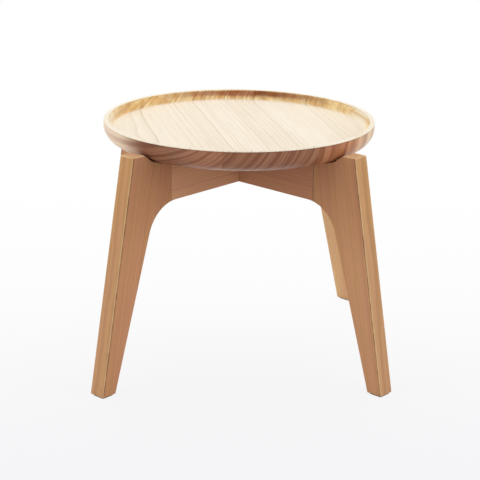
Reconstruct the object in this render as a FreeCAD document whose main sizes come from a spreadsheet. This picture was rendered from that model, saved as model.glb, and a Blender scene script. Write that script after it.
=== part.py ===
"""A low round side table: two crossed wooden frames hold a loose, turned tray between four horns."""
import FreeCAD, Part
import math
import os
import re

import Sketcher

# Driving dimensions. Lengths are millimetres, names in angle are degrees, shares have no unit.
DIMENSIONS = {
    # Tray, turned from three boards glued edge to edge
    "tray_diameter": 450,
    "tray_height": 41,
    "recess_depth": 17.2,
    "rim_width": 9.4,
    "rim_chamfer": 1.2,
    "cove_radius": 10,
    "bowl_width": 49,
    "bowl_depth": 33,
    "belly_radius": 75,
    "board_width": 150,
    "grain_angle": 10.7,
    # Crossed frames, sawn from one thickness of board
    "stock_thickness": 29,
    "rail_bottom": 297.2,
    "rail_height": 63.8,
    "knee_radius": 62,
    "knee_to_joint": 11.7,
    "foot_reach": 103.1,
    "foot_width": 27.6,
    "arris_radius": 1.2,
    "lap_share": 0.5,
    "lap_gap": 0.1,
    # Seat and horns that hold the tray
    "seat_land": 3,
    "cradle_gap": 1.5,
    "cradle_reach": 20,
    "ledge_width": 17,
    "ledge_round": 5,
    "horn_rise": 21.2,
    "horn_gap": 8.5,
    "horn_width": 23.3,
    # Dowels across each joint of leg and rail
    "dowel_diameter": 10,
    "dowel_length": 50,
    "dowel_chamfer": 1.2,
    "dowel_gap": 0.1,
    "dowel_end_gap": 1,
    "dowel_low_share": 0.28,
    "dowel_high_share": 0.72,
    # Rubber pads under the feet
    "pad_thickness": 2,
    "pad_inset": 2.5,
    "pad_round": 3,
    # How far every cut runs past the wood
    "overrun": 5,
}

# Worked-out sizes. Heights end in z; radii and reaches run from the table's upright axis.
DERIVED = {
    "tray_radius": "tray_diameter / 2",
    "seat_z": "rail_bottom + rail_height",
    "tray_top_z": "seat_z + tray_height",
    "floor_z": "tray_top_z - recess_depth",
    "rim_inner_radius": "tray_radius - rim_width",
    "flat_radius": "tray_radius - bowl_width",
    "wall_foot_z": "seat_z + bowl_depth",
    # The bowl is two tangent arcs: the belly leaves the flat bottom, the shoulder meets the wall.
    "shoulder_radius": "(bowl_width ^ 2 + bowl_depth ^ 2 - 2 * bowl_depth * belly_radius)"
                       " / (2 * (bowl_width - belly_radius))",
    "belly_share": "belly_radius / (belly_radius - shoulder_radius)",
    "bowl_blend_radius": "flat_radius + belly_share * (bowl_width - shoulder_radius)",
    "bowl_blend_z": "seat_z + belly_radius + belly_share * (bowl_depth - belly_radius)",
    # The cradle repeats the belly, moved outwards by its gap.
    "cradle_start": "flat_radius + cradle_gap",
    "cradle_end": "cradle_start + cradle_reach",
    "cradle_drop": "sqrt(belly_radius ^ 2 - cradle_reach ^ 2)",
    "cradle_end_z": "seat_z + belly_radius - cradle_drop",
    # The ledge leaves the cradle along its tangent.
    "ledge_end": "cradle_end + ledge_width",
    "ledge_end_z": "cradle_end_z + ledge_width * cradle_reach / cradle_drop",
    "horn_inner": "tray_radius + horn_gap",
    "horn_outer": "horn_inner + horn_width",
    "horn_z": "seat_z + horn_rise",
    # The knee is one arc under the joint, tangent to the rail and to the inner edge of the leg.
    "joint_radius": "cradle_start - seat_land",
    "knee_start": "joint_radius - knee_to_joint",
    "knee_centre_z": "rail_bottom - knee_radius",
    # Leg and rail are shaped a little past their joint, then sawn off there.
    "leg_stub": "knee_start - overrun",
    "rail_stub": "joint_radius + overrun",
    "rail_stub_z": "knee_centre_z + sqrt(knee_radius ^ 2 - (knee_to_joint + overrun) ^ 2)",
    "saw_low_z": "knee_centre_z",
    "saw_high_z": "seat_z + overrun",
    "foot_outer": "tray_radius + foot_reach",
    "foot_inner": "foot_outer - foot_width",
    "knee_run": "foot_inner - knee_start",
    "knee_reach_squared": "knee_run ^ 2 + knee_centre_z ^ 2",
    "inner_edge_length": "sqrt(knee_reach_squared - knee_radius ^ 2)",
    "inner_edge_in": "(knee_run * inner_edge_length - knee_centre_z * knee_radius) / knee_reach_squared",
    "inner_edge_up": "(knee_run * knee_radius + knee_centre_z * inner_edge_length) / knee_reach_squared",
    "knee_end": "foot_inner - inner_edge_length * inner_edge_in",
    "knee_end_z": "inner_edge_length * inner_edge_up",
    "sole_inner": "foot_inner - pad_thickness * inner_edge_in / inner_edge_up",
    "sole_outer": "foot_outer - (foot_outer - horn_outer) * pad_thickness / horn_z",
    # Joinery
    "lap_z": "rail_bottom + rail_height * lap_share",
    "lap_half_width": "stock_thickness / 2 + lap_gap",
    "bore_radius": "dowel_diameter / 2 + dowel_gap",
    "bore_depth": "dowel_length / 2 + dowel_end_gap",
    "dowel_low_z": "rail_bottom + rail_height * dowel_low_share",
    "dowel_high_z": "rail_bottom + rail_height * dowel_high_share",
    "pad_half_width": "stock_thickness / 2 - pad_inset",
}

# The two frames stand on the diagonals, a quarter turn apart. The front is -Y.
CORNER_ANGLES = {"back_right": 45, "back_left": 135, "front_left": 225, "front_right": 315}
RAIL_ANGLES = {"cross_rail_lower": 45, "cross_rail_upper": 135}
UPRIGHT = FreeCAD.Vector(0, 0, 1)
FULL_TURN = 360
# Places nearer to each other than this are one place
SAME_PLACE = 1e-4

doc = FreeCAD.newDocument("side_table")
sheet = doc.addObject("Spreadsheet::Sheet", "dims")
for row, (alias, number) in enumerate(DIMENSIONS.items(), 1):
    sheet.set(f"A{row}", alias)
    sheet.set(f"B{row}", str(number))
    sheet.setAlias(f"B{row}", alias)
doc.recompute()


def formula(text):
    """Turns a sum of plain words into one of the sheet's cells."""
    def cell(match):
        word = match.group()
        if word in DERIVED:
            return f"({formula(DERIVED[word])})"
        return f"dims.{word}" if word in DIMENSIONS else word
    return re.sub(r"[a-z_]+", cell, text)


def value(text):
    return float(sheet.evalExpression(formula(text)))


def new_body(name, angle=0):
    body = doc.addObject("PartDesign::Body", name)
    body.Label = name
    body.Placement.Rotation = FreeCAD.Rotation(UPRIGHT, angle)
    return body


def new_sketch(body, name, plane, offset=None):
    """A sketch on one of the body's own planes, moved along its normal by an offset formula."""
    sketch = body.newObject("Sketcher::SketchObject", f"{body.Name}_{name}")
    support = next(part for part in body.Origin.OriginFeatures if part.Role == plane)
    sketch.AttachmentSupport = [(support, "")]
    sketch.MapMode = "FlatFace"
    if offset:
        sketch.setExpression("AttachmentOffset.Base.z", formula(offset))
    return sketch


def bind(sketch, constraint, text):
    index = sketch.addConstraint(constraint)
    sketch.setExpression(f"Constraints[{index}]", formula(text))


def pin(sketch, point, place):
    """Ties a point of the sketch to its place, a pair of formulas."""
    axes = (("DistanceX", -2), ("DistanceY", -1))
    for text, (kind, axis) in zip(place, axes):
        if text == "0":
            sketch.addConstraint(Sketcher.Constraint("PointOnObject", *point, axis))
        else:
            bind(sketch, Sketcher.Constraint(kind, -1, 1, *point, value(text)), text)


def outline(sketch, corners, arcs=None):
    """A closed outline. An arc takes the run after its corner, and gives its centre and radius."""
    arcs = arcs or {}
    places = [FreeCAD.Vector(value(x), value(y), 0) for x, y in corners]
    heads, tails = [], []
    for number, start in enumerate(places):
        end = places[(number + 1) % len(places)]
        if number not in arcs:
            run = sketch.addGeometry(Part.LineSegment(start, end))
            heads.append((run, 1))
            tails.append((run, 2))
            continue
        x, y, radius = arcs[number]
        centre = FreeCAD.Vector(value(x), value(y), 0)
        angles = [math.atan2(p.y - centre.y, p.x - centre.x) for p in (start, end)]
        clockwise = (angles[1] - angles[0]) % (2 * math.pi) > math.pi
        if clockwise:
            angles.reverse()
        circle = Part.Circle(centre, UPRIGHT, value(radius))
        run = sketch.addGeometry(Part.ArcOfCircle(circle, *angles))
        heads.append((run, 2 if clockwise else 1))
        tails.append((run, 1 if clockwise else 2))
        bind(sketch, Sketcher.Constraint("Radius", run, value(radius)), radius)
    for number, tail in enumerate(tails):
        sketch.addConstraint(Sketcher.Constraint("Coincident", *tail, *heads[(number + 1) % len(heads)]))
    for head, corner in zip(heads, corners):
        pin(sketch, head, corner)


def pad(body, sketch, length, symmetric):
    feature = body.newObject("PartDesign::Pad", f"{sketch.Name}_pad")
    feature.Profile = sketch
    feature.SideType = "Symmetric" if symmetric else "One side"
    feature.setExpression("Length", formula(length))
    return feature


def revolve(body, sketch, axis):
    feature = body.newObject("PartDesign::Revolution", f"{sketch.Name}_turned")
    feature.Profile = sketch
    feature.ReferenceAxis = (sketch, [axis])
    feature.Angle = FULL_TURN
    return feature


def round_edges(body, base, name, wanted, radius):
    """Rounds the edges whose middle point the wanted test accepts."""
    doc.recompute()
    picked = []
    for number, edge in enumerate(base.Shape.Edges, 1):
        if wanted(edge.valueAt((edge.FirstParameter + edge.LastParameter) / 2)):
            picked.append(f"Edge{number}")
    feature = body.newObject("PartDesign::Fillet", f"{body.Name}_{name}")
    feature.Base = (base, picked)
    feature.setExpression("Radius", formula(radius))
    return feature


def near(first, second):
    return abs(first - second) < SAME_PLACE


def cut_block(body, name, along, heights):
    """Cuts a block out of the frame's plane, right through the thickness of the stock."""
    sketch = new_sketch(body, name, "XZ_Plane")
    left, right = along
    low, high = heights
    outline(sketch, ((left, low), (right, low), (right, high), (left, high)))
    pocket = body.newObject("PartDesign::Pocket", f"{sketch.Name}_cut")
    pocket.Profile = sketch
    pocket.SideType = "Symmetric"
    pocket.setExpression("Length", formula("stock_thickness + 2 * overrun"))


def bore_dowel_holes(body, end, outward):
    """Two dowel holes in the joint face at the end formula, drilled outwards or inwards."""
    sketch = new_sketch(body, "holes_out" if outward else "holes_in", "YZ_Plane", end)
    for height in ("dowel_low_z", "dowel_high_z"):
        centre = FreeCAD.Vector(0, value(height), 0)
        circle = sketch.addGeometry(Part.Circle(centre, UPRIGHT, value("bore_radius")))
        pin(sketch, (circle, 3), ("0", height))
        bind(sketch, Sketcher.Constraint("Radius", circle, value("bore_radius")), "bore_radius")
    pocket = body.newObject("PartDesign::Pocket", f"{sketch.Name}_bored")
    pocket.Profile = sketch
    pocket.setExpression("Length", formula("bore_depth"))
    pocket.Reversed = outward


def make_leg(corner, angle):
    """A leg with its knee and horn. Its outline lies in the plane of its frame."""
    body = new_body(f"leg_{corner}", angle)
    sketch = new_sketch(body, "outline", "XZ_Plane")
    corners = (
        ("sole_inner", "pad_thickness"),
        ("sole_outer", "pad_thickness"),
        ("horn_outer", "horn_z"),
        ("horn_inner", "horn_z"),
        ("ledge_end", "ledge_end_z"),
        ("cradle_end", "cradle_end_z"),
        ("cradle_start", "seat_z"),
        ("leg_stub", "seat_z"),
        ("leg_stub", "rail_bottom"),
        ("knee_start", "rail_bottom"),
        ("knee_end", "knee_end_z"),
    )
    arcs = {
        5: ("cradle_start", "seat_z + belly_radius", "belly_radius"),
        9: ("knee_start", "knee_centre_z", "knee_radius"),
    }
    outline(sketch, corners, arcs)
    blank = pad(body, sketch, "stock_thickness", symmetric=True)
    ledge = value("ledge_end")
    blank = round_edges(body, blank, "ledge", lambda p: near(p.y, 0) and near(p.x, ledge), "ledge_round")
    side, stub = value("stock_thickness / 2"), value("leg_stub")
    ends = (value("pad_thickness"), value("horn_z"))

    def is_arris(p):
        along = near(abs(p.y), side) and not near(p.x, stub)
        across = near(p.y, 0) and any(near(p.z, end) for end in ends)
        return along or across

    round_edges(body, blank, "arris", is_arris, "arris_radius")
    cut_block(body, "joint", ("leg_stub - overrun", "joint_radius"), ("saw_low_z", "saw_high_z"))
    bore_dowel_holes(body, "joint_radius", outward=True)
    return body


def make_rail(name, angle, notch_from_top):
    """A rail between two legs, halved at its middle where the other rail crosses."""
    body = new_body(name, angle)
    sketch = new_sketch(body, "outline", "XZ_Plane")
    corners = (
        ("-knee_start", "rail_bottom"),
        ("knee_start", "rail_bottom"),
        ("rail_stub", "rail_stub_z"),
        ("rail_stub", "seat_z"),
        ("-rail_stub", "seat_z"),
        ("-rail_stub", "rail_stub_z"),
    )
    arcs = {
        1: ("knee_start", "knee_centre_z", "knee_radius"),
        5: ("-knee_start", "knee_centre_z", "knee_radius"),
    }
    outline(sketch, corners, arcs)
    blank = pad(body, sketch, "stock_thickness", symmetric=True)
    side, stub = value("stock_thickness / 2"), value("rail_stub")

    def is_arris(p):
        return near(abs(p.y), side) and not near(abs(p.x), stub)

    round_edges(body, blank, "arris", is_arris, "arris_radius")
    notch = ("lap_z", "saw_high_z") if notch_from_top else ("saw_low_z", "lap_z")
    cut_block(body, "halving", ("-lap_half_width", "lap_half_width"), notch)
    saw = ("saw_low_z", "saw_high_z")
    cut_block(body, "right_joint", ("joint_radius", "rail_stub + overrun"), saw)
    cut_block(body, "left_joint", ("-rail_stub - overrun", "-joint_radius"), saw)
    bore_dowel_holes(body, "joint_radius", outward=False)
    bore_dowel_holes(body, "-joint_radius", outward=True)
    return body


def make_dowel(name, angle, height):
    """A dowel along its frame, half in the rail and half in the leg, with chamfered ends."""
    body = new_body(name, angle)
    sketch = new_sketch(body, "profile", "XZ_Plane")
    start, end = "joint_radius - dowel_length / 2", "joint_radius + dowel_length / 2"
    tip = "dowel_diameter / 2 - dowel_chamfer"
    outline(sketch, (
        (start, "0"),
        (end, "0"),
        (end, tip),
        (f"{end} - dowel_chamfer", "dowel_diameter / 2"),
        (f"{start} + dowel_chamfer", "dowel_diameter / 2"),
        (start, tip),
    ))
    revolve(body, sketch, "H_Axis")
    body.setExpression("Placement.Base.z", formula(height))
    return body


def make_foot_pad(corner, angle):
    body = new_body(f"foot_pad_{corner}", angle)
    sketch = new_sketch(body, "outline", "XY_Plane")
    inner, outer = "sole_inner + pad_inset", "sole_outer - pad_inset"
    outline(sketch, ((inner, "-pad_half_width"), (outer, "-pad_half_width"),
                     (outer, "pad_half_width"), (inner, "pad_half_width")))
    blank = pad(body, sketch, "pad_thickness", symmetric=False)
    middle = value("pad_thickness / 2")
    round_edges(body, blank, "corners", lambda p: near(p.z, middle), "pad_round")
    return body


def make_tray_boards():
    """Turns the tray as one solid, then parts it along the glue lines of its three boards."""
    turned = new_body("tray_turning")
    sketch = new_sketch(turned, "profile", "XZ_Plane")
    outline(sketch, (
        ("0", "floor_z"),
        ("0", "seat_z"),
        ("flat_radius", "seat_z"),
        ("bowl_blend_radius", "bowl_blend_z"),
        ("tray_radius", "wall_foot_z"),
        ("tray_radius", "tray_top_z - rim_chamfer"),
        ("tray_radius - rim_chamfer", "tray_top_z"),
        ("rim_inner_radius + rim_chamfer", "tray_top_z"),
        ("rim_inner_radius", "tray_top_z - rim_chamfer"),
        ("rim_inner_radius", "floor_z + cove_radius"),
        ("rim_inner_radius - cove_radius", "floor_z"),
    ), {
        2: ("flat_radius", "seat_z + belly_radius", "belly_radius"),
        3: ("tray_radius - shoulder_radius", "wall_foot_z", "shoulder_radius"),
        9: ("rim_inner_radius - cove_radius", "floor_z + cove_radius", "cove_radius"),
    })
    revolve(turned, sketch, "V_Axis")
    outer_width = "tray_radius + overrun - board_width / 2"
    strips = {
        "tray_board_left": ("-tray_radius - overrun", outer_width),
        "tray_board_middle": ("-board_width / 2", "board_width"),
        "tray_board_right": ("board_width / 2", outer_width),
    }
    return [make_tray_board(name, turned, *strip) for name, strip in strips.items()]


def make_tray_board(name, turned, start, width):
    strip = doc.addObject("Part::Box", f"{name}_strip")
    sizes = {
        "Length": width,
        "Width": "tray_diameter + 2 * overrun",
        "Height": "tray_height + 2 * overrun",
        "Placement.Base.x": start,
        "Placement.Base.y": "-tray_radius - overrun",
        "Placement.Base.z": "seat_z - overrun",
    }
    for size, text in sizes.items():
        strip.setExpression(size, formula(text))
    board = doc.addObject("Part::Common", name)
    board.Label = name
    board.Base = turned
    board.Tool = strip
    board.Placement.Rotation = FreeCAD.Rotation(UPRIGHT, value("grain_angle"))
    board.setExpression("Placement.Rotation.Angle", formula("grain_angle"))
    return board


def make_table():
    pieces = make_tray_boards()
    for name, angle in RAIL_ANGLES.items():
        pieces.append(make_rail(name, angle, notch_from_top=name == "cross_rail_lower"))
    for corner, angle in CORNER_ANGLES.items():
        pieces.append(make_leg(corner, angle))
        pieces.append(make_foot_pad(corner, angle))
        for level in ("low", "high"):
            pieces.append(make_dowel(f"dowel_{corner}_{level}", angle, f"dowel_{level}_z"))
    return pieces


def check_and_write(pieces):
    doc.recompute()
    for item in doc.Objects:
        if {"Invalid", "Error"} & set(item.State):
            raise RuntimeError(f"{item.Name} failed: {item.State}")
    for piece in pieces:
        if piece.Shape.isNull() or not piece.Shape.isValid() or not piece.Shape.Solids:
            raise RuntimeError(f"{piece.Label} has no valid solid")
    os.makedirs("parts", exist_ok=True)
    for piece in pieces:
        piece.Shape.exportStep(f"parts/{piece.Label}.step")
        print(f"{piece.Label}: {len(piece.Shape.Solids)} solid, {piece.Shape.Volume:.0f} mm3")


check_and_write(make_table())
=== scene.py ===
"""Looks for the side table: solid wood cut from boards, rubber pads, soft light and a white floor."""
import math
from dataclasses import dataclass

import bpy
from mathutils import Matrix, Vector


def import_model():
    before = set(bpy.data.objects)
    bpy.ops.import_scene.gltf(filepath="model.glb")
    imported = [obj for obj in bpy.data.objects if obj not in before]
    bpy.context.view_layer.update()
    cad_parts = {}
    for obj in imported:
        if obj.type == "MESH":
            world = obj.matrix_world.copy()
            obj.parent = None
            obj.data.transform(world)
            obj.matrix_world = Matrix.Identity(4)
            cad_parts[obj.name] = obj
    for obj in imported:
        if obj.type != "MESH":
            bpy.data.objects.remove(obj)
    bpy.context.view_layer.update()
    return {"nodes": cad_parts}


# Lengths are metres and colours are linear light.
# A step is the pair of values that a soft change lies between.
X_AXIS = Vector((1, 0, 0))
Y_AXIS = Vector((0, 1, 0))
Z_AXIS = Vector((0, 0, 1))
WHITE = (1.0, 1.0, 1.0)

# Camera, fitted to the photo, with its turn in degrees
CAMERA_PLACE = (-0.1145, -2.3757, 0.9611)
CAMERA_TURN = (71.987, -0.823, -2.597)
LENS_MM = 109.76
SENSOR_MM = 36.0

# The world's light on the table, and the floor, whose steps run along Y
WORLD_LIGHT = 0.42
FLOOR_REACH = 9.0
FLOOR_PAPER = (0.72, 0.72, 0.73)
FLOOR_NEAR = (0.93, 0.93, 0.95)
FLOOR_NEAR_STEP = (-0.7, 0.35)
OWN_WHITE = (0.91, 1.0)
OWN_WHITE_STEP = (-0.3, 1.2)

# Places that the materials need, as the solids have them, with angles in degrees
GRAIN_ANGLE = 10.7
GLUE_LINE = 0.075
JOINT_RADIUS = 0.1745
TRAY_FLOOR_Z = 0.3848
RIM_Z = 0.402
RAIL_MIDDLE_Z = 0.3291
LEG_MIDDLE_RADIUS = 0.280
LEG_MIDDLE_Z = 0.190
FOOT_OUTER = 0.3281
HORN_OUTER = 0.2568
HORN_Z = 0.3822
STOCK = 0.029

# How far the grain of a piece in a frame leans from upright, in radians
LEG_GRAIN = math.atan2(FOOT_OUTER - HORN_OUTER, HORN_Z)
RAIL_GRAIN = math.radians(-90)

# Colours of the wood in the early and the late part of each year
# The tray floor's colours, also used on the rim's top: partly the pale flat grain and partly painted light
# on faces that look up
TRAY_FLOOR_EARLY = (0.93, 0.845, 0.70)
TRAY_FLOOR_LATE = (0.67, 0.53, 0.36)
WALL_EARLY = (0.92, 0.67, 0.315)
WALL_LATE = (0.31, 0.11, 0.043)
FRAME_EARLY = (0.67, 0.37, 0.195)
FRAME_LATE = (0.46, 0.22, 0.105)
DOWEL_EARLY = (0.62, 0.42, 0.24)
DOWEL_LATE = (0.50, 0.32, 0.17)

# Colours that cover the wood
GLUE = (0.12, 0.07, 0.04)
# The next colour is a painted highlight on rounded arrises; the one after it is a thin dark line beside the
# outer arrises of the legs
ARRIS_HIGHLIGHT = (0.78, 0.53, 0.285)
ARRIS_DARK = (0.17, 0.09, 0.045)

# Colours that multiply the wood
CANAL_STAIN = (0.55, 0.42, 0.32)
TRAY_PATCH = (0.94, 0.89, 0.83)
WALL_SIDE = (1.02, 1.22, 1.85)
WALL_PALE = (1.08, 1.18, 1.36)
WALL_FLAME = (0.90, 0.78, 0.68)
# A painted shade line under the edges of the rim
LIP_SHADE = (0.55, 0.52, 0.42)
FRAME_PATCH = (0.93, 0.88, 0.84)
FRAME_END = (0.92, 0.96, 1.15)
FRAME_GOLD = (1.0, 1.02, 0.94)
FRAME_PINK = (1.0, 0.97, 1.0)
# Side and edge colours low on a leg or rail, and high up, where they paint the shade under the tray: sides
# darker and redder, edges more golden
SIDE_LOW = (1.06, 0.985, 0.97)
SIDE_UNDER_TRAY_SHADE = (0.88, 0.775, 0.76)
EDGE_LOW = (1.0, 1.0, 0.97)
EDGE_UNDER_TRAY_SHADE = (1.0, 1.0, 0.84)

# Noise in the wood, in waves per metre across, along and through a piece, and where it starts to show
NOISE_MIDDLE = (0.5, 0.5, 0.5)
SEED_SHIFT = (1.0, 1.7, 2.3)
FIBRE_WAVES = (620, 12, 620)
PATCH_WAVES = (16, 2.4, 16)
PATCH_STEP = (0.35, 0.70)
BLUSH_WAVES = (75, 3.0, 75)
BLUSH_STEP = (0.35, 0.65)
CANAL_WAVES = (1300, 42, 1300)
CANAL_STEP = (0.70, 0.80)

# Slow sways and short kinks push the rings by these lengths
SWAY_WAVES = (9, 2.2, 9)
SWAY_PUSH = (0.012, 0.0, 0.012)
KINK_WAVES = (30, 22, 30)
KINK_PUSH = (0.0022, 0.0, 0.0022)

# Growth rings: parts of a year, waves per year, and a power above 1 that makes strong years rare
LINE_RISE = (0.74, 0.93)
LINE_FALL = (0.95, 1.0)
DUSK_RISE = (0.10, 0.90)
DUSK_FALL = (0.92, 1.0)
YEAR_WAVES = 0.37
YEAR_SHIFT = (-0.7, 0.7)
STRONG_YEARS = 1.6
SPELL_WAVES = 1.7
SPELL_STEP = (0.36, 0.66)
CALM_STEP = (0.6, 1.3)
CALM_RINGS = 0.1

# Surface of the wood: shares of its marks, glue lines, relief and lacquer
FIBRE_STREAK = (0.86, 1.14)
CANAL_SHARE = 0.35
SEAM_STEP = (0.0002, 0.0011)
TRAY_SEAM_DEPTH = 0.10
FRAME_SEAM_DEPTH = 0.6
LINE_HEIGHT = 0.5
FIBRE_HEIGHT = 0.9
CANAL_DEPTH = 0.8
WOOD_BUMP = 0.35
WOOD_RELIEF = 0.0003
LINE_POLISH = 0.08
BOWL_POLISH = 0.30
TRAY_ROUGHNESS = (0.60, 0.76)
FRAME_ROUGHNESS = (0.58, 0.74)
DOWEL_ROUGHNESS = (0.55, 0.75)
LACQUER_SHINE = 0.22
LACQUER_TINT = (1.0, 0.84, 0.76)

# Tray: which way a face looks, how squarely its grain is cut, and shares of its marks
TRAY_DRIFT = (0.02, 0.0)
OUTSIDE_STEP = (0.05, 0.6)
UNDERSIDE_STEP = (-0.99, -0.92)
SQUARE_STEP = (0.74, 0.92)
SIDE_RING_STEP = (0.05, 0.55)
SIDE_RINGS = 0.4
SPELL_SHARES = (0.25, 0.58)
WALL_DUSK = 0.3
TRAY_FLOOR_DUSK = 0.25
TRAY_PATCH_SHARE = 0.4
# Share of the painted shade line under the rim
LIP_SHADE_SHARE = 0.5

# Tray: the ragged lower edge of the brown on the wall, which is partly painted shade, and the heights and
# slopes of its rim and floor
RAGGED_BY_PATCH = (-0.0025, 0.0008)
RAGGED_BY_RING = (-0.001, 0.003)
BROWN_STEP = (TRAY_FLOOR_Z, TRAY_FLOOR_Z + 0.009)
# Heights and slopes where the painted shade lines lie under the outer and inner edges of the rim
OUTER_LIP_STEP = (RIM_Z - 0.004, RIM_Z - 0.0012)
INNER_LIP_STEP = (RIM_Z - 0.0016, RIM_Z - 0.001)
INNER_LIP_RISE = (0.4, 0.6)
INNER_LIP_FALL = (0.80, 0.95)
# Where the pale of the floor and the rim's top, partly painted light, lies
RIM_STEP = (RIM_Z - 0.002, RIM_Z - 0.001)
RIM_SLOPE_STEP = (0.75, 0.93)
RIM_OUTWARD = 0.35
TRAY_FLOOR_STEP = (RIM_Z - 0.004, RIM_Z - 0.002)
TRAY_FLOOR_SLOPE_STEP = (0.70, 1.0)

# Frames: rings, shares of their marks, and where faces and rounded arrises begin and end
FRAME_RING = 0.0046
FRAME_LATE_SHARE = 0.62
FRAME_PATCH_SHARE = 0.5
# Heights over which the painted shade under the tray comes in
UNDER_TRAY_SHADE_STEP = (0.18, 0.36)
SIDE_STEP = (0.4, 0.9)
# Where the painted highlight on the rounded arrises lies
LONG_ARRIS_RISE = (0.15, 0.5)
LONG_ARRIS_FALL = (0.75, 0.97)
TOP_ARRIS_RISE = (0.25, 0.45)
TOP_ARRIS_FALL = (0.62, 0.78)
ARRIS_FIBRES = (0.2, 0.9)

# Painted highlights beside the arrises of the legs, and a thin dark line along the outer ones: breaks along
# the arris, the widths of the pale and dark lines, and their shares
BREAK_WAVES = (40, 40, 40)
BESIDE_STEP = (0.80, 0.95)
PALE_STEP = (0.0008, 0.0028)
PALE_BREAKS = (0.35, 0.62)
PALE_SHARES = (0.2, 0.85)
DARK_STEP = (0.0018, 0.0032)
DARK_BREAKS = (0.42, 0.60)
DARK_SHARES = (0.80, 0.34)

# Dowels and rubber pads
DOWEL_PITH = (0.04, 0.03)
DOWEL_RING = 0.003
DOWEL_SEED = 41.0
RUBBER_CLEAN = (0.030, 0.021, 0.015)
RUBBER_DUSTY = (0.065, 0.047, 0.034)
RUBBER_ROUGHNESS = (0.62, 0.86)
RUBBER_BUMP = 0.3
RUBBER_RELIEF = 0.0002
GRIT_WAVES = (2600, 2600, 2600)
DUST_WAVES = (90, 90, 90)
DUST_STEP = (0.35, 0.75)


@dataclass
class Lamp:
    """A square lamp: where it is, where it aims, its side, and its power in watts."""
    place: tuple
    aim: tuple
    side: float
    power: float


@dataclass
class TrayTint:
    """Colours that multiply the wood of a tray board.

    wall_end darkens the upper inner wall where its grain is cut across, partly its own tone and partly
    painted shade. The outside of the bowl has three, by how squarely its grain is cut: along, slanting and
    square;
    pale along tints also paint light on the bowl's ends, and a dark slanting tint paints the shade by a
    horn.
    slants is the step from along to slanting, and wall_slants the step over which the inner wall loses the
    paleness of its sides.
    """
    wall_end: tuple
    along: tuple
    slanting: tuple
    square: tuple
    slants: tuple
    wall_slants: tuple


@dataclass
class FrameBoard:
    """A leg or a rail: the angle of its frame round Z in degrees, its tint, and its log as in Cut."""
    angle: float
    tint: tuple
    seed: float
    faintest: float
    pith: tuple = (0.10, 0.03)


@dataclass
class Cut:
    """How a piece lay in its log. Grain runs along the piece's own Y, its thickness along Z.

    place and turn give the piece's own axes, and pith the log's middle across the grain and through it.
    ring is the width of a year, seed picks the log's own noise, and faintest is how plainly the faintest
    year shows. drift is how far the pith moves per metre of grain. seams are glue lines: the normal, the
    distance and the depth of each. calm is the middle and half width of a stretch with faint rings. A face
    is end grain from end_from, the cosine between its normal and the grain, which is first turned by
    end_swing degrees round Z.
    """
    place: Vector
    turn: Matrix
    pith: tuple
    ring: float
    seed: float
    faintest: float = 0.5
    drift: tuple = (0.0, 0.0)
    seams: tuple = ()
    calm: tuple = ()
    end_from: float = 0.86
    end_swing: float = 0.0


@dataclass
class Marks:
    """What the colour of a piece of wood is made from, each between 0 and 1."""
    line: bpy.types.NodeSocket
    dusk: bpy.types.NodeSocket
    spell: bpy.types.NodeSocket
    fibre: bpy.types.NodeSocket
    patch: bpy.types.NodeSocket
    blush: bpy.types.NodeSocket
    canal: bpy.types.NodeSocket
    end: bpy.types.NodeSocket


@dataclass
class TrayFace:
    """Where a point of the tray is, which way it faces, and how squarely the turning cut its grain."""
    height: bpy.types.NodeSocket
    upward: bpy.types.NodeSocket
    outward: bpy.types.NodeSocket
    outside: bpy.types.NodeSocket
    squareness: bpy.types.NodeSocket


LAMPS = {
    "overhead": Lamp((0.0, 0.9, 2.4), (0.0, 0.0, 0.35), 1.8, 24.6),
    "left": Lamp((-1.8, -0.9, 1.15), (0.0, 0.0, 0.3), 1.5, 15.2),
    "right": Lamp((1.8, -0.9, 1.15), (0.0, 0.0, 0.3), 1.5, 16.8),
}
# On the bowl's outside, the pale along tints of the left and right boards paint light on the bowl's ends,
# and the left board's dark slanting tint paints the shade by the front left horn; each wall_end is partly
# painted shade on the upper wall
TRAY_TINTS = {
    "left": TrayTint(
        wall_end=(0.56, 0.385, 0.36), along=(1.07, 1.16, 1.80), slanting=(0.39, 0.255, 0.31),
        square=(0.56, 0.375, 0.46), slants=(0.30, 0.60), wall_slants=(0.1, 0.75)),
    "middle": TrayTint(
        wall_end=(0.48, 0.29, 0.30), along=(0.44, 0.285, 0.345), slanting=(0.44, 0.285, 0.345),
        square=(0.44, 0.285, 0.345), slants=(0.50, 0.90), wall_slants=(0.1, 0.75)),
    "right": TrayTint(
        wall_end=(0.30, 0.14, 0.12), along=(0.98, 1.02, 1.42), slanting=(0.74, 0.43, 0.36),
        square=(0.53, 0.325, 0.345), slants=(0.56, 0.88), wall_slants=(0.0, 0.35)),
}
RAILS = {
    "lower": FrameBoard(45, (1.20, 1.32, 1.50), 11.0, 0.22),
    "upper": FrameBoard(135, (0.96, 0.96, 1.08), 14.0, 0.22),
}
LEGS = {
    # The back right leg is much lighter: partly its own tone, partly painted light
    "back_right": FrameBoard(45, (1.43, 1.65, 1.72), 21.0, 0.35, (0.06, 0.12)),
    "back_left": FrameBoard(135, (1.0, 1.0, 1.0), 25.0, 0.15),
    "front_left": FrameBoard(225, (0.96, 0.955, 0.955), 29.0, 0.38),
    "front_right": FrameBoard(315, (0.96, 0.985, 1.0), 33.0, 0.0),
}


def opaque(colour):
    """A colour with full cover; a socket stays as it is."""
    if isinstance(colour, bpy.types.NodeSocket):
        return colour
    return (*colour, 1.0)


def tinted(colour, tint):
    return tuple(part * share for part, share in zip(colour, tint))


def turned(angle):
    return Matrix.Rotation(math.radians(angle), 3, "Z")


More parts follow.
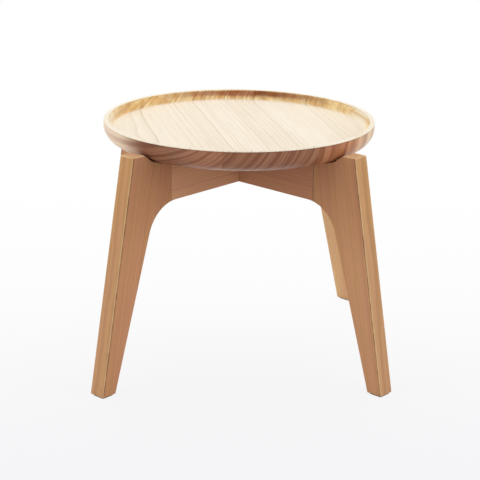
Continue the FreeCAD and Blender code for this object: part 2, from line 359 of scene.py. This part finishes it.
class Graph:
    """Writes the nodes of one material or world."""

    def __init__(self, owner):
        self.owner = owner
        owner.use_nodes = True
        self.tree = owner.node_tree
        self.tree.nodes.clear()

    def node(self, kind, inputs, **settings):
        made = self.tree.nodes.new(f"ShaderNode{kind}")
        for name, setting in settings.items():
            setattr(made, name, setting)
        for key, given in inputs.items():
            if isinstance(given, bpy.types.NodeSocket):
                self.tree.links.new(given, made.inputs[key])
            else:
                made.inputs[key].default_value = given
        return made

    def math(self, operation, first, second=0.0):
        return self.node("Math", {0: first, 1: second}, operation=operation).outputs[0]

    def plus(self, first, second):
        return self.math("ADD", first, second)

    def minus(self, first, second):
        return self.math("SUBTRACT", first, second)

    def times(self, first, second):
        return self.math("MULTIPLY", first, second)

    def larger(self, first, second):
        return self.math("MAXIMUM", first, second)

    def smaller(self, first, second):
        return self.math("MINIMUM", first, second)

    def distance(self, first, second):
        return self.math("ABSOLUTE", self.minus(first, second))

    def added(self, first, second):
        return self.node("VectorMath", {0: first, 1: second}, operation="ADD").outputs[0]

    def scaled(self, vector, factors):
        return self.node("VectorMath", {0: vector, 1: factors}, operation="MULTIPLY").outputs[0]

    def dot(self, first, second):
        return self.node("VectorMath", {0: first, 1: second}, operation="DOT_PRODUCT").outputs["Value"]

    def parts(self, vector):
        return self.node("SeparateXYZ", {0: vector}).outputs

    def rise(self, number, step, start=0.0, end=1.0):
        """A soft change from start to end, as the number goes through the step."""
        inputs = {"Value": number, "From Min": step[0], "From Max": step[1], "To Min": start, "To Max": end}
        return self.node("MapRange", inputs, interpolation_type="SMOOTHSTEP").outputs[0]

    def fall(self, number, step):
        return self.rise(number, step, 1.0, 0.0)

    def hump(self, number, up, down):
        """Up through one step and down again through the next."""
        return self.times(self.rise(number, up), self.fall(number, down))

    def spread(self, number, ends):
        """A number from 0 to 1, spread evenly between two ends."""
        inputs = {"Value": number, "To Min": ends[0], "To Max": ends[1]}
        return self.node("MapRange", inputs).outputs[0]

    def mix(self, share, first, second, blend="MIX"):
        inputs = {0: share, 6: opaque(first), 7: opaque(second)}
        return self.node("Mix", inputs, data_type="RGBA", blend_type=blend).outputs[2]

    def stained(self, share, colour, tint):
        """A colour times a tint, by a share."""
        return self.mix(share, colour, tint, "MULTIPLY")

    def noise(self, place, waves, detail, roughness=0.5):
        vector = self.scaled(place, waves)
        inputs = {"Vector": vector, "Scale": 1.0, "Detail": detail, "Roughness": roughness}
        return self.node("TexNoise", inputs).outputs

    def pushed(self, place, seeded, waves, push, detail):
        """A place moved to and fro by noise."""
        noise = self.noise(seeded, waves, detail)["Color"]
        centred = self.node("VectorMath", {0: noise, 1: NOISE_MIDDLE}, operation="SUBTRACT").outputs[0]
        return self.added(place, self.scaled(centred, push))

    def year_noise(self, years, waves, detail):
        inputs = {"W": years, "Scale": waves, "Detail": detail}
        return self.node("TexNoise", inputs, noise_dimensions="1D").outputs[0]

    def seen(self):
        """1 for rays from the camera, gloss and glass, 0 for light on its way to other things."""
        path = self.node("LightPath", {}).outputs
        eye = self.larger(path["Is Camera Ray"], path["Is Glossy Ray"])
        return self.larger(eye, path["Is Transmission Ray"])

    def output(self, shader):
        self.node("OutputMaterial", {"Surface": shader})
        return self.owner


def material_graph(name):
    return Graph(bpy.data.materials.new(name))


def ring_lines(graph, cut, local, seeded):
    """Rings round the pith: each year's dark last line, the dusk before it, and spells of dark years."""
    place = graph.pushed(local, seeded, SWAY_WAVES, SWAY_PUSH, detail=2)
    place = graph.pushed(place, seeded, KINK_WAVES, KINK_PUSH, detail=1)
    across, along, through = graph.parts(place)
    offsets = []
    for reach, pith, drift in zip((across, through), cut.pith, cut.drift):
        offsets.append(graph.minus(graph.minus(reach, pith), graph.times(along, drift)))
    from_pith = graph.node("CombineXYZ", {0: offsets[0], 2: offsets[1]}).outputs[0]
    radius = graph.node("VectorMath", {0: from_pith}, operation="LENGTH").outputs["Value"]
    count = graph.math("DIVIDE", radius, cut.ring)

    # No two years are alike: rings differ in width and in the strength of their dark line
    years = graph.plus(graph.times(count, YEAR_WAVES), cut.seed)
    count = graph.plus(count, graph.spread(graph.year_noise(years, 1.0, detail=1.0), YEAR_SHIFT))
    phase = graph.math("FRACT", count)
    year = graph.plus(graph.math("FLOOR", count), cut.seed)
    strength = graph.node("TexWhiteNoise", {"W": year}, noise_dimensions="1D").outputs[0]
    strength = graph.spread(graph.math("POWER", strength, STRONG_YEARS), (cut.faintest, 1.0))
    if cut.calm:
        middle, half = cut.calm
        step = [share * half for share in CALM_STEP]
        strength = graph.times(strength, graph.rise(graph.distance(across, middle), step, CALM_RINGS))
    line = graph.times(graph.hump(phase, LINE_RISE, LINE_FALL), strength)
    dusk = graph.times(graph.hump(phase, DUSK_RISE, DUSK_FALL), strength)
    spell = graph.rise(graph.year_noise(years, SPELL_WAVES, detail=2.0), SPELL_STEP)
    return line, dusk, spell


def wood_marks(graph, cut, source):
    """Rings, fibres, pale and dark patches, a change of hue, resin canals, and where end grain shows."""
    inputs = {"Vector": source.outputs["Object"], "Location": cut.place, "Rotation": cut.turn.to_euler()}
    local = graph.node("Mapping", inputs, vector_type="TEXTURE").outputs[0]
    seeded = graph.added(local, tuple(cut.seed * shift for shift in SEED_SHIFT))
    line, dusk, spell = ring_lines(graph, cut, local, seeded)
    grain = turned(cut.end_swing) @ cut.turn @ Y_AXIS
    end = graph.math("ABSOLUTE", graph.dot(source.outputs["Normal"], grain))
    return Marks(
        line=line,
        dusk=dusk,
        spell=spell,
        fibre=graph.noise(seeded, FIBRE_WAVES, detail=3, roughness=0.6)[0],
        patch=graph.rise(graph.noise(seeded, PATCH_WAVES, detail=2)[0], PATCH_STEP),
        blush=graph.rise(graph.noise(seeded, BLUSH_WAVES, detail=2)[0], BLUSH_STEP),
        canal=graph.rise(graph.noise(seeded, CANAL_WAVES, detail=1)[0], CANAL_STEP),
        end=graph.rise(end, (cut.end_from, 1.0)))


def finish_wood(graph, cut, source, marks, colour, roughness, polish=0.0):
    """Fibres and canals over a colour, glue lines, and a thin matt lacquer."""
    streak = graph.spread(marks.fibre, FIBRE_STREAK)
    streak = graph.node("CombineXYZ", {0: streak, 1: streak, 2: streak}).outputs[0]
    colour = graph.stained(1.0, colour, streak)
    colour = graph.stained(graph.times(marks.canal, CANAL_SHARE), colour, CANAL_STAIN)
    for normal, distance, depth in cut.seams:
        off = graph.distance(graph.dot(source.outputs["Object"], normal), distance)
        colour = graph.mix(graph.rise(off, SEAM_STEP, depth, 0.0), colour, GLUE)
    rough = graph.spread(marks.fibre, roughness)
    rough = graph.minus(rough, graph.times(marks.line, LINE_POLISH))
    rough = graph.minus(rough, graph.times(polish, BOWL_POLISH))
    height = graph.minus(graph.times(marks.line, LINE_HEIGHT), graph.times(marks.canal, CANAL_DEPTH))
    height = graph.plus(height, graph.times(marks.fibre, FIBRE_HEIGHT))
    bump = graph.node("Bump", {"Strength": WOOD_BUMP, "Distance": WOOD_RELIEF, "Height": height})
    inputs = {
        "Base Color": colour,
        "Roughness": rough,
        "Normal": bump.outputs[0],
        "Specular IOR Level": LACQUER_SHINE,
        "Specular Tint": opaque(LACQUER_TINT),
    }
    return graph.output(graph.node("BsdfPrincipled", inputs).outputs[0])


def tray_face(graph, cut, source):
    upward = graph.parts(source.outputs["Normal"])[2]
    from_middle = graph.scaled(source.outputs["Object"], (1.0, 1.0, 0.0))
    from_middle = graph.node("VectorMath", {0: from_middle}, operation="NORMALIZE").outputs[0]
    outward = graph.dot(source.outputs["Normal"], from_middle)
    outward = graph.larger(outward, graph.times(upward, -1.0))
    return TrayFace(
        height=graph.parts(source.outputs["Object"])[2],
        upward=upward,
        outward=outward,
        outside=graph.rise(outward, OUTSIDE_STEP),
        squareness=graph.math("ABSOLUTE", graph.dot(from_middle, cut.turn @ Y_AXIS)))


def bowl_stain(graph, face, tint):
    """The bowl's outside, tinted by how squarely its grain is cut, with painted light on its pale ends and
    on one board painted shade by a horn. Its flat underside counts as square.
    """
    stain = graph.mix(graph.rise(face.squareness, tint.slants), tint.along, tint.slanting)
    stain = graph.mix(graph.rise(face.squareness, SQUARE_STEP), stain, tint.square)
    return graph.mix(graph.fall(face.upward, UNDERSIDE_STEP), stain, tint.square)


def wall_stain(graph, marks, face, tint):
    """The inner wall's tint: pale along the grain, flamed, and brown above a ragged edge on end grain,
    partly the end grain's tone and partly painted shade on the upper wall.
    """
    ragged = graph.plus(face.height, graph.spread(marks.patch, RAGGED_BY_PATCH))
    ragged = graph.plus(ragged, graph.spread(marks.dusk, RAGGED_BY_RING))
    # Brown on the upper wall where its grain is cut across: partly its own tone, partly painted shade
    end = graph.times(marks.end, graph.rise(ragged, BROWN_STEP))
    stain = graph.mix(graph.rise(face.squareness, tint.wall_slants), WALL_SIDE, WHITE)
    stain = graph.stained(end, stain, tint.wall_end)
    return graph.stained(1.0, stain, graph.mix(marks.blush, WALL_PALE, WALL_FLAME))


def rim_masks(graph, face):
    """Where painted shade lines lie under the edges of the rim, and where the tray's floor and the top of
    its rim are pale, partly the pale flat grain and partly painted light on faces that look up.
    """
    outer = graph.times(face.outside, graph.rise(face.height, OUTER_LIP_STEP))
    inner = graph.hump(face.upward, INNER_LIP_RISE, INNER_LIP_FALL)
    inner = graph.times(inner, graph.rise(face.height, INNER_LIP_STEP))
    # The rim's top and the floor, facing up, are pale: partly the flat grain's tone, partly painted light
    slope = graph.plus(face.upward, graph.times(face.outward, RIM_OUTWARD))
    rim = graph.times(graph.rise(face.height, RIM_STEP), graph.rise(slope, RIM_SLOPE_STEP))
    floor = graph.rise(face.upward, TRAY_FLOOR_SLOPE_STEP)
    floor = graph.times(floor, graph.fall(face.height, TRAY_FLOOR_STEP))
    return graph.larger(outer, inner), graph.larger(floor, rim)


def make_tray_wood(name, cut, tint):
    """Pale on the floor and the rim, partly as painted light on faces that look up; golden on the inner
    wall, with painted shade on its upper part and under the rim; brown on the outside of the bowl, with
    painted light on its pale ends and painted shade by a horn.
    """
    graph = material_graph(name)
    source = graph.node("TexCoord", {})
    marks = wood_marks(graph, cut, source)
    face = tray_face(graph, cut, source)
    spells = graph.times(marks.spell, graph.spread(face.outside, SPELL_SHARES))
    late = graph.larger(marks.line, graph.times(marks.dusk, WALL_DUSK))
    late = graph.larger(late, spells)
    late = graph.times(late, graph.rise(face.squareness, SIDE_RING_STEP, SIDE_RINGS))
    colour = graph.mix(late, WALL_EARLY, WALL_LATE)
    wall = wall_stain(graph, marks, face, tint)
    colour = graph.stained(1.0, colour, graph.mix(face.outside, wall, bowl_stain(graph, face, tint)))
    # Painted shade lines under the edges of the rim
    lip_shade, top = rim_masks(graph, face)
    colour = graph.stained(graph.times(lip_shade, LIP_SHADE_SHARE), colour, LIP_SHADE)
    # Pale colour on faces that look up, partly painted light
    late = graph.larger(marks.line, graph.times(marks.dusk, TRAY_FLOOR_DUSK))
    colour = graph.mix(top, colour, graph.mix(late, TRAY_FLOOR_EARLY, TRAY_FLOOR_LATE))
    colour = graph.stained(graph.times(marks.patch, TRAY_PATCH_SHARE), colour, TRAY_PATCH)
    return finish_wood(graph, cut, source, marks, colour, TRAY_ROUGHNESS, face.outside)


def leg_arris_highlight_and_line(graph, source, angle):
    """Where a leg gets a painted highlight beside its arrises, and a thin dark line along the outer ones.
    """
    through = turned(angle) @ Y_AXIS
    outer = math.cos(LEG_GRAIN) * (turned(angle) @ X_AXIS) + math.sin(LEG_GRAIN) * Z_AXIS
    place = source.outputs["Object"]
    beside = graph.math("ABSOLUTE", graph.dot(source.outputs["Normal"], through))
    beside = graph.rise(beside, BESIDE_STEP)
    from_outer = graph.distance(graph.dot(place, outer), FOOT_OUTER * math.cos(LEG_GRAIN))
    from_side = graph.distance(graph.math("ABSOLUTE", graph.dot(place, through)), STOCK / 2)
    from_top = graph.distance(graph.parts(place)[2], HORN_Z)

    # A point lies on one face, so the second nearest face is the one across the arris
    front = graph.plus(from_outer, beside)
    nearer = graph.smaller(front, from_side)
    farther = graph.larger(front, from_side)
    second = graph.larger(nearer, graph.smaller(farther, from_top))
    breaks = graph.noise(place, BREAK_WAVES, detail=3, roughness=0.6)[0]
    pale = graph.times(graph.fall(second, PALE_STEP), graph.rise(breaks, PALE_BREAKS, *PALE_SHARES))
    dark = graph.times(beside, graph.fall(from_outer, DARK_STEP))
    dark = graph.times(dark, graph.rise(breaks, DARK_BREAKS, *DARK_SHARES))
    return pale, dark


def make_frame_wood(name, cut, tint, leg_angle=None):
    """Tan wood, golden and pink by turns, with painted shade towards the top under the tray and a painted
    highlight on its rounded arrises.
    """
    graph = material_graph(name)
    source = graph.node("TexCoord", {})
    marks = wood_marks(graph, cut, source)
    late = graph.times(graph.larger(marks.line, marks.dusk), FRAME_LATE_SHARE)
    colour = graph.mix(late, tinted(FRAME_EARLY, tint), tinted(FRAME_LATE, tint))
    colour = graph.stained(1.0, colour, graph.mix(marks.blush, FRAME_GOLD, FRAME_PINK))
    colour = graph.stained(graph.times(marks.patch, FRAME_PATCH_SHARE), colour, FRAME_PATCH)
    colour = graph.stained(marks.end, colour, FRAME_END)

    sideways = graph.math("ABSOLUTE", graph.dot(source.outputs["Normal"], cut.turn @ Z_AXIS))
    upward = graph.parts(source.outputs["Normal"])[2]
    # Painted shade under the tray: towards the top, the sides darken and redden and the edges turn more
    # golden
    high = graph.rise(graph.parts(source.outputs["Object"])[2], UNDER_TRAY_SHADE_STEP)
    edge = graph.mix(high, EDGE_LOW, EDGE_UNDER_TRAY_SHADE)
    side = graph.mix(high, SIDE_LOW, SIDE_UNDER_TRAY_SHADE)
    colour = graph.stained(1.0, colour, graph.mix(graph.rise(sideways, SIDE_STEP), edge, side))
    # Painted highlight on the rounded arrises, broken by the fibres
    long_arris = graph.hump(sideways, LONG_ARRIS_RISE, LONG_ARRIS_FALL)
    top_arris = graph.hump(upward, TOP_ARRIS_RISE, TOP_ARRIS_FALL)
    arris_highlight = graph.times(graph.larger(long_arris, top_arris), graph.spread(marks.fibre, ARRIS_FIBRES))
    colour = graph.mix(arris_highlight, colour, ARRIS_HIGHLIGHT)
    # On a leg, a painted highlight beside the arrises and a thin dark line along the outer ones
    if leg_angle is not None:
        pale, dark = leg_arris_highlight_and_line(graph, source, leg_angle)
        colour = graph.mix(pale, colour, ARRIS_HIGHLIGHT)
        colour = graph.mix(dark, colour, ARRIS_DARK)
    return finish_wood(graph, cut, source, marks, colour, FRAME_ROUGHNESS)


def make_dowel_wood(name, cut):
    """Straight, even beech."""
    graph = material_graph(name)
    source = graph.node("TexCoord", {})
    marks = wood_marks(graph, cut, source)
    colour = graph.mix(marks.dusk, DOWEL_EARLY, DOWEL_LATE)
    return finish_wood(graph, cut, source, marks, colour, DOWEL_ROUGHNESS)


def make_rubber():
    """Hard brown rubber with a fine moulded grain."""
    graph = material_graph("pad_rubber")
    place = graph.node("TexCoord", {}).outputs["Object"]
    grit = graph.noise(place, GRIT_WAVES, detail=2)[0]
    dust = graph.rise(graph.noise(place, DUST_WAVES, detail=3)[0], DUST_STEP)
    bump = graph.node("Bump", {"Strength": RUBBER_BUMP, "Distance": RUBBER_RELIEF, "Height": grit})
    inputs = {
        "Base Color": graph.mix(dust, RUBBER_CLEAN, RUBBER_DUSTY),
        "Roughness": graph.spread(grit, RUBBER_ROUGHNESS),
        "Normal": bump.outputs[0],
    }
    return graph.output(graph.node("BsdfPrincipled", inputs).outputs[0])


def frame_turn(angle, lean):
    """Axes of a piece in a frame's plane: Y along the grain, Z through the stock."""
    outward = turned(angle) @ X_AXIS
    through = turned(angle) @ Y_AXIS
    grain = math.cos(lean) * Z_AXIS - math.sin(lean) * outward
    return Matrix((grain.cross(through), grain, through)).transposed()


def tray_cut(glue_lines, **log):
    """The cut of a tray board, with its glue lines at places across the grain."""
    turn = turned(GRAIN_ANGLE)
    seams = tuple((turn @ X_AXIS, place, TRAY_SEAM_DEPTH) for place in glue_lines)
    return Cut(place=TRAY_FLOOR_Z * Z_AXIS, turn=turn, drift=TRAY_DRIFT, seams=seams, **log)


def frame_cut(board, place, lean, joints):
    """The cut of a leg or a rail, with its joints at places along the frame."""
    outward = turned(board.angle) @ X_AXIS
    return Cut(
        place=place,
        turn=frame_turn(board.angle, lean),
        pith=board.pith,
        ring=FRAME_RING,
        seed=board.seed,
        faintest=board.faintest,
        seams=tuple((outward, joint, FRAME_SEAM_DEPTH) for joint in joints))


def dress(nodes, name, material):
    """Gives a node its one material."""
    slots = nodes[name].data.materials
    slots.clear()
    slots.append(material)


def dress_tray(nodes):
    cuts = {
        "left": tray_cut(
            (-GLUE_LINE,), pith=(-0.215, 0.150), ring=0.0066, seed=1.0, faintest=0.05),
        "middle": tray_cut(
            (-GLUE_LINE, GLUE_LINE), pith=(-0.20, 0.13), ring=0.0060, seed=1.0, faintest=0.35,
            end_from=0.70, end_swing=-18.0),
        "right": tray_cut(
            (GLUE_LINE,), pith=(0.40, -0.06), ring=0.0078, seed=5.0, faintest=0.15,
            calm=(0.104, 0.018), end_from=0.30),
    }
    for side, cut in cuts.items():
        name = f"tray_board_{side}"
        dress(nodes, name, make_tray_wood(name, cut, TRAY_TINTS[side]))


def dress_frames(nodes):
    for level, board in RAILS.items():
        name = f"cross_rail_{level}"
        cut = frame_cut(board, RAIL_MIDDLE_Z * Z_AXIS, RAIL_GRAIN, (JOINT_RADIUS, -JOINT_RADIUS))
        dress(nodes, name, make_frame_wood(name, cut, board.tint))
    for corner, board in LEGS.items():
        name = f"leg_{corner}"
        place = LEG_MIDDLE_RADIUS * (turned(board.angle) @ X_AXIS) + LEG_MIDDLE_Z * Z_AXIS
        cut = frame_cut(board, place, LEG_GRAIN, (JOINT_RADIUS,))
        dress(nodes, name, make_frame_wood(name, cut, board.tint, board.angle))


def dress_fittings(nodes):
    rubber = make_rubber()
    for corner, board in LEGS.items():
        dress(nodes, f"foot_pad_{corner}", rubber)
        turn = frame_turn(board.angle, RAIL_GRAIN)
        cut = Cut(RAIL_MIDDLE_Z * Z_AXIS, turn, DOWEL_PITH, DOWEL_RING, DOWEL_SEED)
        beech = make_dowel_wood(f"dowel_wood_{corner}", cut)
        for level in ("low", "high"):
            dress(nodes, f"dowel_{corner}_{level}", beech)


def make_camera():
    data = bpy.data.cameras.new("camera")
    data.lens = LENS_MM
    data.sensor_width = SENSOR_MM
    camera = bpy.data.objects.new("camera", data)
    camera.location = CAMERA_PLACE
    camera.rotation_euler = [math.radians(turn) for turn in CAMERA_TURN]
    bpy.context.scene.collection.objects.link(camera)
    bpy.context.scene.camera = camera


def make_lamp(name, lamp):
    data = bpy.data.lights.new(name, "AREA")
    data.shape = "SQUARE"
    data.size = lamp.side
    data.energy = lamp.power
    made = bpy.data.objects.new(name, data)
    made.location = lamp.place
    made.rotation_euler = (Vector(lamp.aim) - Vector(lamp.place)).to_track_quat("-Z", "Y").to_euler()
    bpy.context.scene.collection.objects.link(made)


def make_world():
    """White to the eye, and a dimmer even light on the table."""
    world = bpy.data.worlds.new("studio")
    bpy.context.scene.world = world
    graph = Graph(world)
    strength = graph.spread(graph.seen(), (WORLD_LIGHT, 1.0))
    shader = graph.node("Background", {"Color": opaque(WHITE), "Strength": strength}).outputs[0]
    graph.node("OutputWorld", {"Surface": shader})


def make_floor():
    """A white floor: what the eye sees is mostly its own white, and its lit paper keeps the shadow."""
    mesh = bpy.data.meshes.new("floor")
    corners = [(x * FLOOR_REACH, y * FLOOR_REACH, 0) for x, y in ((-1, -1), (1, -1), (1, 1), (-1, 1))]
    mesh.from_pydata(corners, [], [(0, 1, 2, 3)])
    floor = bpy.data.objects.new("floor", mesh)
    bpy.context.scene.collection.objects.link(floor)
    graph = material_graph("white_floor")
    away = graph.parts(graph.node("TexCoord", {}).outputs["Object"])[1]
    glow = graph.mix(graph.rise(away, FLOOR_NEAR_STEP), FLOOR_NEAR, WHITE)
    paper = graph.node("BsdfDiffuse", {"Color": opaque(FLOOR_PAPER)}).outputs[0]
    white = graph.node("Emission", {"Color": glow, "Strength": 1.0}).outputs[0]
    share = graph.times(graph.seen(), graph.rise(away, OWN_WHITE_STEP, *OWN_WHITE))
    shader = graph.node("MixShader", {0: share, 1: paper, 2: white}).outputs[0]
    mesh.materials.append(graph.output(shader))


def main():
    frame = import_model()
    bpy.context.scene.view_settings.view_transform = "Standard"
    make_camera()
    make_world()
    for name, lamp in LAMPS.items():
        make_lamp(name, lamp)
    make_floor()
    nodes = frame["nodes"]
    dress_tray(nodes)
    dress_frames(nodes)
    dress_fittings(nodes)


main()
